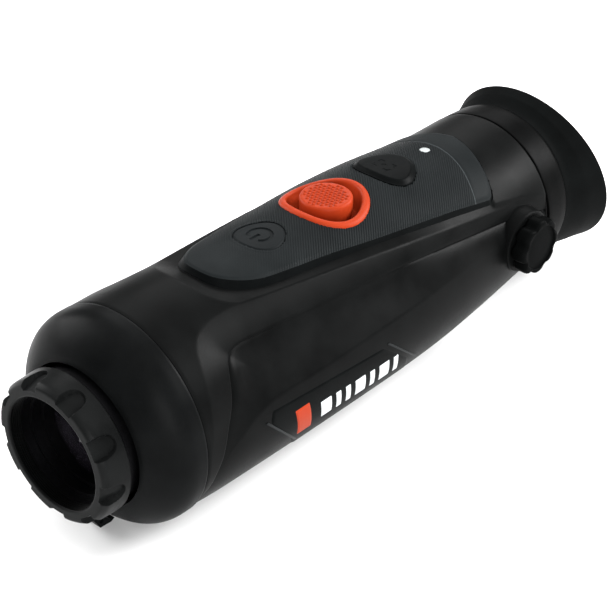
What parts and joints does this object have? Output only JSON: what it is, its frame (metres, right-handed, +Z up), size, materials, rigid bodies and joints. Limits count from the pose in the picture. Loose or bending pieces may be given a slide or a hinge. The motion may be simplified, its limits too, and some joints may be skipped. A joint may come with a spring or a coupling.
{
  "type": "thermal imaging camera",
  "caption": "Handheld thermal monocular: round tapering body with focus ring, thumb stick and two buttons on a ribbed top pad, diopter knob, flared eyecup and tripod socket",
  "frame": {"origin": "mouth of the tripod socket, in the flat belly that the camera rests on", "axes": "+Y runs back along the optical axis from the objective to the eyecup, +Z is up towards the controls, +X is the side with the diopter knob"},
  "size_m": [0.0547, 0.1797, 0.0527],
  "materials": {
    "housing_plastic": "fine matt texture",
    "bezel_plastic": "fine matt texture",
    "ring_plastic": "satin",
    "pad_rubber": "fine diagonal ribs",
    "button_rubber": "satin",
    "accent_orange": "satin",
    "soft_rubber": "matt",
    "seal_rubber": "matt",
    "black_metal": "black anodised",
    "bare_steel": "machined",
    "plain_brass": "machined",
    "lens_glass": "polished, coated",
    "eye_glass": "polished",
    "board_laminate": "solder mask",
    "chip_plastic": "moulded",
    "frame_plastic": "moulded",
    "cell_wrap": "shrink wrap",
    "lamp_plastic": "diffusing",
    "badge_plastic": "satin",
    "ribbon_film": "film"
  },
  "bodies": {
    "housing": {"front_bezel": "bezel_plastic", "front_seal": "seal_rubber", "lens_tube": "black_metal", "lens_flange": "black_metal", "cap_lug": "bezel_plastic", "shutter_frame": "frame_plastic", "shutter_motor": "bare_steel", "detector": "bare_steel", "sensor_board": "board_laminate", "sensor_standoffs": "plain_brass", "sensor_screws": "bare_steel", "upper_housing": "housing_plastic", "lower_housing": "housing_plastic", "housing_screws": "bare_steel", "tripod_insert": "plain_brass", "badge_left": "badge_plastic", "badge_right": "badge_plastic", "usb_port": "bare_steel", "usb_hinge_pin": "bare_steel", "battery_cell": "cell_wrap", "chassis": "frame_plastic", "battery_clips": "bare_steel", "main_board": "board_laminate", "board_chips": "chip_plastic", "keypad_board": "board_laminate", "tact_switches": "chip_plastic", "led_lens": "lamp_plastic", "control_pad": "pad_rubber", "joystick_bezel": "accent_orange", "joystick_base": "frame_plastic", "display_holder": "frame_plastic", "display_panel": "chip_plastic", "display_board": "board_laminate", "display_ribbon": "ribbon_film", "eyepiece_tube": "housing_plastic", "eyepiece_seal": "seal_rubber", "ocular_window": "eye_glass", "diopter_bushing": "plain_brass"},
    "focus_wheel": {"focus_ring": "ring_plastic"},
    "objective": {"lens_cell": "black_metal", "objective_retainer": "black_metal", "objective_front_lens": "lens_glass", "objective_rear_lens": "lens_glass"},
    "power_key": {"power_button": "pad_rubber"},
    "capture_key": {"capture_button": "button_rubber"},
    "stick_gimbal": {"joystick_gimbal": "frame_plastic"},
    "stick_core": {"joystick_core": "frame_plastic"},
    "stick": {"joystick_cap": "accent_orange", "joystick_stem": "bare_steel"},
    "diopter_wheel": {"diopter_shaft": "bare_steel", "diopter_knob": "ring_plastic"},
    "ocular": {"eyepiece_carriage": "black_metal", "ocular_front_lens": "eye_glass", "ocular_rear_lens": "eye_glass"},
    "eye_rubber": {"eyecup": "soft_rubber"},
    "connector_flap": {"usb_cover": "soft_rubber"},
    "shutter": {"shutter_flag": "black_metal"}
  },
  "joints": [
    {"name": "focus_turn", "type": "hinge", "parent": "housing", "child": "focus_wheel", "pos_m": [0, -0.078, 0.0263], "axis": [0, 1, 0], "range_deg": [0, 160]},
    {"name": "focus_slide", "type": "slide", "parent": "housing", "child": "objective", "axis": [0, -1, 0], "range_m": [0, 0.0016]},
    {"name": "power_press", "type": "slide", "parent": "housing", "child": "power_key", "axis": [0, 0, -1], "range_m": [0, 0.0005], "stiffness_N_per_m": 800, "springref_m": -0.0005},
    {"name": "capture_press", "type": "slide", "parent": "housing", "child": "capture_key", "axis": [0, 0, -1], "range_m": [0, 0.0005], "stiffness_N_per_m": 800, "springref_m": -0.0005},
    {"name": "stick_tilt_y", "type": "hinge", "parent": "housing", "child": "stick_gimbal", "pos_m": [0, 0.0063, 0.0415], "axis": [1, 0, 0], "range_deg": [-6, 6], "stiffness_Nm_per_rad": 0.05},
    {"name": "stick_tilt_x", "type": "hinge", "parent": "stick_gimbal", "child": "stick_core", "pos_m": [0, 0.0063, 0.0415], "axis": [0, 1, 0], "range_deg": [-6, 6], "stiffness_Nm_per_rad": 0.05},
    {"name": "stick_press", "type": "slide", "parent": "stick_core", "child": "stick", "axis": [0, 0, -1], "range_m": [0, 0.0003], "stiffness_N_per_m": 1500, "springref_m": -0.0003},
    {"name": "diopter_turn", "type": "hinge", "parent": "housing", "child": "diopter_wheel", "pos_m": [0.0263, 0.0567, 0.0263], "axis": [1, 0, 0], "range_deg": [-40, 40]},
    {"name": "ocular_slide", "type": "slide", "parent": "housing", "child": "ocular", "axis": [0, 1, 0], "range_m": [-0.0017, 0.0017]},
    {"name": "eyecup_turn", "type": "hinge", "parent": "housing", "child": "eye_rubber", "pos_m": [0, 0.081, 0.0263], "axis": [0, 1, 0], "range_deg": [-90, 90]},
    {"name": "flap_open", "type": "hinge", "parent": "housing", "child": "connector_flap", "pos_m": [-0.024, 0.021, 0.0203], "axis": [0, 0, 1], "range_deg": [0, 95]},
    {"name": "shutter_swing", "type": "hinge", "parent": "housing", "child": "shutter", "pos_m": [0, -0.05, 0.0133], "axis": [0, 1, 0], "range_deg": [-62, 0]}
  ],
  "couplings": [
    {"joint": "focus_turn", "follows": "focus_slide", "rad_per_m": 1745.3},
    {"joint": "diopter_turn", "follows": "ocular_slide", "rad_per_m": 400}
  ]
}
